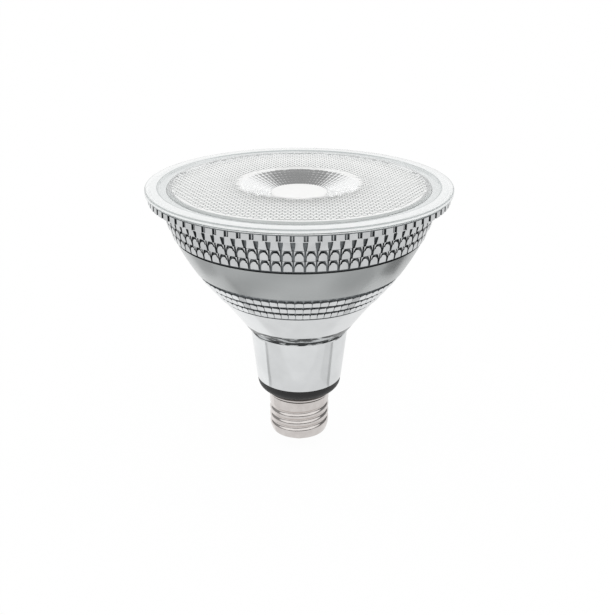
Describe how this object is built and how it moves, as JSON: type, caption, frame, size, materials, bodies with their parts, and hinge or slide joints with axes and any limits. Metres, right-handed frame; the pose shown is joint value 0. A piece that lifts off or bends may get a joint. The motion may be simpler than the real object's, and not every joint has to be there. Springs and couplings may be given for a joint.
{
  "type": "reflector spotlight lamp",
  "caption": "Reflector spotlight lamp with a silvered, block-patterned glass bowl, a clear beaded lens with a shallow centre dish, a black collar and a medium screw base",
  "frame": {"origin": "middle of the centre contact's lower face, which is the middle of the bottom of the lamp's bounding box", "axes": "+Z runs along the lamp's axis from the base to the lens; the lamp is round about Z, and -Y is the side that the picture shows"},
  "size_m": [0.122, 0.122, 0.1175],
  "materials": {
    "tinned_brass": "satin, tinned",
    "black_glass": "gloss",
    "nickel_plate": "bright nickel plate",
    "black_plastic": "satin black",
    "wire_black": "satin sleeve",
    "wire_white": "satin sleeve",
    "silvered_glass": "silvered inside",
    "sealant": "clear, satin",
    "lens_glass": "clear, beaded",
    "frosted_window": "frosted white",
    "bright_metal": "bright",
    "white_plastic": "matte white",
    "phosphor": "matte yellow",
    "white_ceramic": "satin",
    "white_board": "white solder mask",
    "plated_steel": "zinc plate",
    "grey_pad": "matte",
    "spun_aluminium": "spun",
    "cup_plastic": "satin white",
    "green_board": "solder mask",
    "black_epoxy": "moulded",
    "resistor_coat": "lacquer",
    "blue_coat": "dipped epoxy",
    "yellow_case": "moulded",
    "can_sleeve": "heat-shrink sleeve",
    "ferrite": "matte",
    "winding_tape": "taped",
    "wire_red": "satin sleeve"
  },
  "bodies": {
    "root": {"centre_contact": "tinned_brass", "base_insulator": "black_glass", "screw_shell": "nickel_plate", "base_collar": "black_plastic", "live_wire": "wire_black", "neutral_wire": "wire_white", "reflector_body": "silvered_glass", "rim_seal": "sealant", "front_lens": "lens_glass", "centre_window": "frosted_window", "dish_reflector": "bright_metal", "inner_reflector": "white_plastic", "led_phosphor": "phosphor", "led_chip": "white_ceramic", "led_board": "white_board", "board_screws": "plated_steel", "thermal_pad": "grey_pad", "heat_sink": "spun_aluminium", "driver_sleeve": "cup_plastic", "driver_board": "green_board", "bridge_rectifier": "black_epoxy", "control_chip": "black_epoxy", "power_transistor": "black_epoxy", "fuse_resistor": "resistor_coat", "varistor": "blue_coat", "film_capacitor": "yellow_case", "electrolytic_capacitor": "can_sleeve", "transformer_core": "ferrite", "transformer_winding": "winding_tape", "positive_lead": "wire_red", "negative_lead": "wire_black"}
  },
  "joints": []
}
